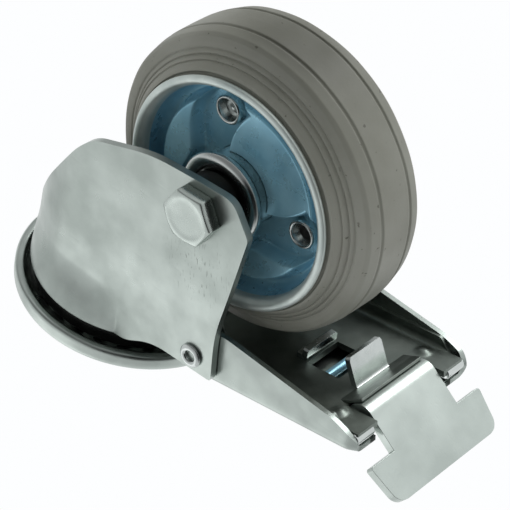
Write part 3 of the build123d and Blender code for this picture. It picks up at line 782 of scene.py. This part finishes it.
@dataclass
class BrakeLever:
    """Outer channel and inner plate of the lever that swings on the two leg rivets."""

    half: float = 22.9
    web_front: tuple[float, float] = (-35.5, -11.7)
    slope: float = 0.2422
    web_end: float = -78.6
    tip: float = -89.35
    bend: float = 2.6
    plate_half: float = 20.6
    plate_sheet: float = 1.8
    plate_drop: float = 5.4
    neck: float = 13.2

    def web_z(self, x: Array) -> Array:
        """Height of the channel's upper face."""
        return self.web_front[1] + self.slope * (x - self.web_front[0])

    def plate_z(self, x: Array) -> Array:
        """Height of the inner plate's upper face."""
        return self.web_z(x) - self.plate_drop

    def channel(self) -> Patch:
        """Carries a U section along X: up one flank, round the bend, across and down again.

        The flank's foot follows the side outline, and near the tip both flanks lean inwards.

        Returns:
            The outer face, without the cut for the pedal's neck.
        """
        foot = rounded([(-35.5, -25.5), (-44.4, -30.7), (-80.8, -31.4), (-86.2, -30.3), (-89.4, -28.4),
                        (-89.6, -25.0)], [0, 7, 3, 3, 1.5, 0], 9, False)
        x = np.concatenate([np.linspace(self.web_front[0], self.web_end, 90),
                            np.linspace(self.web_end, self.tip, 36)[1:]])
        order = np.argsort(foot[:, 0])
        low = np.interp(x, foot[order, 0], foot[order, 1])
        high = self.web_z(x)
        bend = self.bend
        rise = np.linspace(0.0, 1.0, 16)[None, :]
        flank_z = low[:, None] + (np.maximum(high - bend, low + 0.05) - low)[:, None] * rise
        flank_y = np.full_like(flank_z, -self.half)
        arc = np.linspace(0.0, pi / 2, 9)[1:]
        bow_y = np.broadcast_to(-self.half + bend * (1 - np.cos(arc)), (len(x), len(arc)))
        lift = np.minimum(bend, high - low - 0.05)
        bow_z = (high - lift)[:, None] + lift[:, None] * np.sin(arc)
        across = np.linspace(-self.half + bend, 0.0, 20)[1:]
        web_y = np.broadcast_to(across, (len(x), len(across)))
        web_z = np.broadcast_to(high[:, None], web_y.shape)
        y = np.concatenate([flank_y, bow_y, web_y], axis=1)
        z = np.concatenate([flank_z, bow_z, web_z], axis=1)
        y = y + (1.3 * smooth(-85.0, -90.0, x) ** 2)[:, None] * (y < -15)
        y = np.concatenate([y, -y[:, -2::-1]], axis=1)
        z = np.concatenate([z, z[:, -2::-1]], axis=1)
        points = np.stack([np.broadcast_to(x[:, None], y.shape), y, z], axis=-1)
        middle = (points[:-1, :-1] + points[1:, 1:]) / 2
        keep = (middle[..., 0] > self.web_end) | (np.abs(middle[..., 1]) > self.neck + 0.6)
        return Patch(points, keep=keep)

    def plate(self) -> list[Patch]:
        """The inner plate: turned-down edges, a window, a slot for the pedal and dimples.

        Returns:
            The plate and the tongue ahead of it.
        """
        x = np.unique(np.concatenate([np.linspace(-88.0, -79.1, 22), np.linspace(-79.1, -70.8, 20),
                                      np.linspace(-70.8, -60.9, 18), np.linspace(-60.9, -46.5, 28)]))
        inner = np.unique(np.concatenate([np.linspace(-19.0, -self.neck, 14),
                                          np.linspace(-self.neck, -6.0, 14), np.linspace(-6.0, 0.0, 10)]))
        y = np.concatenate([[-self.plate_half] * 4, [-20.5, -20.2, -19.7], inner])
        dip = np.concatenate([[-3.4, -2.6, -1.9, -1.3], [-0.75, -0.35, -0.1], np.zeros(len(inner))])
        y = np.concatenate([y, -y[-2::-1]])
        dip = np.concatenate([dip, dip[-2::-1]])
        fade = 1.0 - smooth(-80.0, -84.5, x)
        z = self.plate_z(x)[:, None] + dip[None, :] * fade[:, None]
        xx, yy = np.broadcast_to(x[:, None], z.shape), np.broadcast_to(y[None, :], z.shape)
        for side in (-1, 1):
            away = np.hypot(xx + 79.2, yy - side * 16.6)
            z = z - 0.9 * (1.0 - smooth(0.3, 2.6, away))
        mid_x, mid_y = (x[:-1] + x[1:])[:, None] / 2, (y[:-1] + y[1:])[None, :] / 2
        window = (mid_x > -70.8) & (mid_x < -60.9) & (np.abs(mid_y) < 6.0)
        slot = (mid_x < -79.1) & (np.abs(mid_y) < self.neck)
        sheet = Patch(np.stack([xx, yy, z], axis=-1), keep=~(window | slot))
        reach = np.linspace(0.0, 1.0, 40)
        front_x = -46.5 + reach * (46.5 - 18.6)
        half = np.interp(front_x, [-46.5, -41.0, -33.5, -29.0, -18.6],
                         [self.plate_half, 12.0, 6.0, 1.0, 1.0])
        top = np.where(front_x < -33.0, self.plate_z(front_x),
                       np.interp(front_x, [-33.0, -23.0, -18.6], [self.plate_z(-33.0), -17.8, -17.8]))
        tongue = carried(np.stack([front_x, top], axis=1), half[:, None] * np.linspace(-1, 1, 17)[None, :])
        return [sheet, tongue]

    def tab(self, start_x: float, bend_x: float, tip: tuple[float, float], half: float) -> Patch:
        """A lanced tab: it leaves the plate in line, bends round a small arc and points at the tread.

        Args:
            start_x: where it leaves the plate.
            bend_x: where it bends.
            tip: (x, z) of its free edge.
            half: half its width.

        Returns:
            The open sheet.
        """
        run = np.array([start_x, bend_x])
        path = rounded([*zip(run.tolist(), (self.plate_z(run) + 0.05).tolist()), tip], 1.5, 9, False)
        path = resampled(path, 26)
        shrink = half - 0.5 * smooth(0.9, 1.0, np.linspace(0, 1, len(path)))
        return carried(path, shrink[:, None] * np.linspace(-1, 1, 13)[None, :])

    def ears(self) -> list[Patch]:
        """The plate's two ears, which run forward to the rivets, each ruled between two edges.

        Returns:
            The near ear and the far ear.
        """
        end = (-50.0, float(self.plate_z(np.array(-50.0))))
        top = resampled(np.array([(-33.5, -18.5), (-36.0, -16.7), (-42.5, -17.0), end]), 40)
        low = resampled(np.array([(-33.5, -23.0), (-36.0, -24.8), (-46.0, -25.4), (-50.0, -26.3)]), 40)
        drop = np.linspace(0, 1, 8)[None, :, None]
        flat = top[:, None] * (1 - drop) + low[:, None] * drop
        pair = []
        for hand in (-1, 1):
            pair.append(Patch(np.stack([flat[..., 0], np.full(flat.shape[:2], hand * self.plate_half),
                                        flat[..., 1]], axis=-1)))
        return pair

    def build(self) -> None:
        """Makes the channel, the plate with its tabs, lip and ears, and the pedal's pins."""
        make_piece("brake_channel_pressed", [self.channel()], CHANNEL_ZINC, Body.LEVER,
                   ["brake_channel"], 1.4, 0.25)
        sheet, tongue = self.plate()
        # The inner plate, its lip and its ears are darkened as painted shade for their place inside the
        # channel.
        make_piece("brake_plate_pressed", [sheet, tongue], DULL_ZINC_PAINTED_SHADE, Body.LEVER,
                   ["brake_plate"], self.plate_sheet, 0.2)
        tabs = [self.tab(-57.5, -60.6, (-60.2, -26.5), 5.8), self.tab(-78.4, -76.4, (-72.0, -33.8), 6.2)]
        make_piece("brake_plate_tabs", tabs, BRIGHT_ZINC, Body.LEVER, [],
                   self.plate_sheet - 0.2, 0.2)
        lip = resampled(np.array([(-76.6, -26.35), (-79.2, -28.0), (-81.8, -30.2)]), 20)
        across = 12.4 - 0.8 * np.linspace(0, 1, 20)[:, None] ** 4
        pressed = carried(lip, across * np.linspace(-1, 1, 15)[None, :])
        make_piece("brake_plate_lip", [pressed], DULL_ZINC_PAINTED_SHADE, Body.LEVER, [], 0.7, 0.1)
        stub = rounded([(14.6, 0.02), (14.6, 1.7), (21.2, 1.7), (21.2, 0.02)], 0.35, 5)
        stubs = [turned(stub * np.array([hand, 1.0]), 48, (-87.3, 0.0, -27.6)) for hand in (-1, 1)]
        make_piece("pedal_stop_pins", stubs, BRIGHT_ZINC, Body.LEVER, [])
        pin = rounded([(-21.6, 0.02), (-21.6, 1.8), (21.6, 1.8), (21.6, 0.02)], 0.3, 4)
        make_piece("pedal_hinge_pin", [turned(pin, 48, (-83.4, 0.0, -26.0))], BRIGHT_ZINC, Body.LEVER,
                   ["pedal_pin"])
        make_piece("brake_plate_ears", self.ears(), DULL_ZINC_PAINTED_SHADE, Body.LEVER, [],
                   self.plate_sheet, 0.2)


@dataclass
class Pedal:
    """T-shaped pedal, rolled round its pin at the inner end."""

    pin: tuple[float, float] = (-83.4, -26.0)
    pin_r: float = 1.86
    sheet: float = 2.3
    kick: float = 31.0
    neck: float = 12.6
    t_start: float = 10.3
    t_end: float = 21.4
    t_half: float = 21.6
    t_outer: float = 19.7
    corner: float = 3.0

    def side_line(self) -> tuple[Array, Array]:
        """The lower face seen from the side.

        Returns:
            (x, z) points round the knuckle and along the plate, and each point's distance along
            the plate from the knuckle's foot, negative on the knuckle.
        """
        reach = self.pin_r + self.sheet
        foot = radians(270.0 - self.kick)
        roll = np.linspace(radians(55.0 + 360.0), foot, 40)[:-1]
        round_part = np.array(self.pin) + reach * np.stack([np.cos(roll), np.sin(roll)], axis=1)
        start = np.array([self.pin[0] + reach * cos(foot), self.pin[1] + reach * sin(foot)])
        run = np.unique(np.concatenate([np.linspace(0, self.t_start, 24),
                                        np.linspace(self.t_start, self.t_end, 34)]))
        along = np.array([-cos(radians(self.kick)), sin(radians(self.kick))])
        straight = start + run[:, None] * along
        return np.vstack([round_part, straight]), np.concatenate([(foot - roll) * reach, run])

    def build(self) -> None:
        """Carries the side line across Y: the neck's width throughout, plus two wings at the T."""
        line, run = self.side_line()
        tight = self.t_end - run
        drop = np.sqrt(np.maximum(self.corner**2 - (self.corner - tight) ** 2, 0))
        chamfer = np.where(tight < self.corner, self.corner - drop, 0)
        middle = carried(line, np.full((len(line), 1), self.neck) * np.linspace(-1, 1, 27)[None, :])
        wing = run >= self.t_start - 1e-6
        outwards = (run[wing] - self.t_start) / (self.t_end - self.t_start)
        edge = self.t_half + (self.t_outer - self.t_half) * outwards
        edge = edge - chamfer[wing]
        inner_end = np.minimum(0.8, 0.8 - (run[wing] - self.t_start))
        edge = edge - np.maximum(inner_end, 0.0) ** 2
        share = np.linspace(0.0, 1.0, 12)[None, :]
        out = self.neck + (edge[:, None] - self.neck) * share
        patches = [middle, carried(line[wing], out), carried(line[wing], -out)]
        make_piece("pedal_tee", patches, ZINC, Body.PEDAL, ["pedal"], self.sheet, 0.35)


def dress_nodes() -> None:
    """Gives each node that keeps the frame's shape its finish."""
    # The axle tube and spacers take the near-black painted shade of the gap between the hub and the legs.
    finishes = {"king_sleeve": BRIGHT_ZINC, "lock_race": BRIGHT_ZINC, "upper_balls": BEARING,
                "lower_balls": BEARING, "rollers": BEARING, "roller_cage": CAGE, "seal_near": BEARING,
                "seal_far": BEARING, "axle_tube": PAINTED_SHADE_STEEL, "spacer_near": PAINTED_SHADE_STEEL,
                "spacer_far": PAINTED_SHADE_STEEL, "nut_washer": BRIGHT_ZINC, "brake_spring": BLUE_ZINC}
    for name, finish in finishes.items():
        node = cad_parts[name]
        node.data.materials.clear()
        node.data.materials.append(finish.material())
        LOG.info("%s dressed as %s", name, finish.name)


# ---------------------------------------------------------------- stage
@dataclass
class Stage:
    """Pale floor, soft lights and the camera."""

    floor_z: float = -102.7
    target: tuple[float, float, float] = (-27.4, 11.3, -25.0)
    azimuth: float = -32.64
    elevation: float = -41.08
    roll: float = 166.19
    distance: float = 560.0
    lens: float = 152.96

    def floor(self) -> None:
        """A wide pale floor that shows from above only, so that a low camera sees through it."""
        size = 3000.0
        corners = [(-size, -size, self.floor_z), (size, -size, self.floor_z), (size, size, self.floor_z),
                   (-size, size, self.floor_z)]
        mesh = bpy.data.meshes.new("floor")
        mesh.from_pydata([tuple(v * MM for v in c) for c in corners], [], [(0, 1, 2, 3)])
        plane = bpy.data.objects.new("floor", mesh)
        bpy.context.scene.collection.objects.link(plane)
        paint = bpy.data.materials.new("pale_floor")
        paint.use_nodes = True
        tree = paint.node_tree
        tree.nodes.clear()
        under = add_node(tree, "ShaderNodeNewGeometry", {}).outputs["Backfacing"]
        matte = add_node(tree, "ShaderNodeBsdfDiffuse", {"Color": linear("EDEDEA")})
        clear = add_node(tree, "ShaderNodeBsdfTransparent", {})
        blend = add_node(tree, "ShaderNodeMixShader", {0: under, 1: matte.outputs[0], 2: clear.outputs[0]})
        add_node(tree, "ShaderNodeOutputMaterial", {"Surface": blend.outputs[0]})
        mesh.materials.append(paint)
        plane.visible_shadow = False
        plane.visible_glossy = False

    def world(self) -> None:
        """A white room, dimmer low on the near side, with two darker lobes for the metal to reflect.

        Below the horizon the strength climbs with Y, from the near side to the far side. Above
        it the near side is a little dimmer. Each lobe scales the strength near one direction.
        """
        world = bpy.data.worlds.new("studio")
        bpy.context.scene.world = world
        world.use_nodes = True
        tree = world.node_tree
        tree.nodes.clear()
        way = add_node(tree, "ShaderNodeTexCoord", {}).outputs["Generated"]
        split = add_node(tree, "ShaderNodeSeparateXYZ", {0: way})
        below = self.eased(tree, split.outputs[1], -0.35, 0.55, 0.24, 1.0)
        above = self.eased(tree, split.outputs[1], -0.5, 0.4, 0.84, 1.0)
        level = self.eased(tree, split.outputs[2], -0.35, 0.2, 0.0, 1.0)
        power = add_node(tree, "ShaderNodeMix", {0: level, 2: below, 3: above}, data_type="FLOAT").outputs[0]
        for toward, low, high, gain in (((-0.77, -0.63, -0.10), 0.6, 0.88, 0.03),
                                        ((0.66, 0.64, -0.40), 0.8, 0.97, 0.5)):
            near = add_node(tree, "ShaderNodeVectorMath", {0: way, 1: toward}, operation="DOT_PRODUCT")
            lobe = self.eased(tree, near.outputs["Value"], low, high, 1.0, gain)
            power = add_node(tree, "ShaderNodeMath", {0: power, 1: lobe}, operation="MULTIPLY").outputs[0]
        light = add_node(tree, "ShaderNodeBackground", {"Color": linear("FDFEFF"), "Strength": power})
        add_node(tree, "ShaderNodeOutputWorld", {"Surface": light.outputs[0]})

    @staticmethod
    def eased(tree: bpy.types.NodeTree, value: bpy.types.NodeSocket, low: float, high: float, to_low: float,
              to_high: float) -> bpy.types.NodeSocket:
        """Maps low..high to to_low..to_high with eased ends."""
        span = {"Value": value, "From Min": low, "From Max": high, "To Min": to_low, "To Max": to_high}
        return add_node(tree, "ShaderNodeMapRange", span, interpolation_type="SMOOTHSTEP").outputs[0]

    def lamp(self, name: str, way: tuple[float, float, float], power: float, size: float,
             away: float) -> None:
        """A square soft light that looks at the target from a direction.

        Args:
            name: the light's name.
            way: direction from the target to the light.
            power: power in watts.
            size: side of the square in millimetres.
            away: distance from the target in millimetres.
        """
        data = bpy.data.lights.new(name, "AREA")
        data.energy = power
        data.size = size * MM
        lamp = bpy.data.objects.new(name, data)
        aim = Vector(self.target) * MM
        back = Vector(way).normalized()
        lamp.location = aim + back * away * MM
        lamp.rotation_euler = back.to_track_quat("Z", "Y").to_euler()
        bpy.context.scene.collection.objects.link(lamp)

    def camera(self) -> None:
        """Places the camera by its two angles, then rolls it about its own line of sight."""
        az, el = radians(self.azimuth), radians(self.elevation)
        back = Vector((sin(az) * cos(el), -cos(az) * cos(el), sin(el)))
        level_right = Vector((cos(az), sin(az), 0.0))
        level_up = back.cross(level_right)
        roll = radians(self.roll)
        up = level_up * cos(roll) + level_right * sin(roll)
        right = up.cross(back)
        place = Matrix((right, up, back)).transposed().to_4x4()
        place.translation = (Vector(self.target) + back * self.distance) * MM
        data = bpy.data.cameras.new("camera")
        data.lens = self.lens
        data.sensor_width = 36.0
        data.clip_start = 0.01
        eye = bpy.data.objects.new("camera", data)
        eye.matrix_world = place
        bpy.context.scene.collection.objects.link(eye)
        bpy.context.scene.camera = eye

    def build(self) -> None:
        """Sets the floor, the world, the lamps and the camera."""
        self.floor()
        self.world()
        self.lamp("key", (-0.05, 0.65, -0.76), 1.9, 400.0, 700.0)
        self.lamp("overhead", (0.4, -0.5, 1.0), 0.8, 600.0, 900.0)
        self.camera()


def main() -> None:
    """Builds the caster piece by piece, then the stage round it."""
    logging.basicConfig(level=logging.INFO, format="%(message)s")
    for part in (Head(), Fork(), Axle(), PivotRivets(), Wheel(), BrakeLever(), Pedal()):
        part.build()
    dress_nodes()
    Stage().build()
    bpy.context.scene.view_settings.view_transform = "Standard"


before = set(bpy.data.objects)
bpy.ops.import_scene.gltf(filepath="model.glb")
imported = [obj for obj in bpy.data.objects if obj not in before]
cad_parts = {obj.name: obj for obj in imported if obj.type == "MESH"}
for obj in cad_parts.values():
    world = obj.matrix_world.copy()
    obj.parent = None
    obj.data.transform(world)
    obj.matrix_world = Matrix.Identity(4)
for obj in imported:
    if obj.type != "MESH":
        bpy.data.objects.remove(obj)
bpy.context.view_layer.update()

if __name__ == "__main__":
    main()
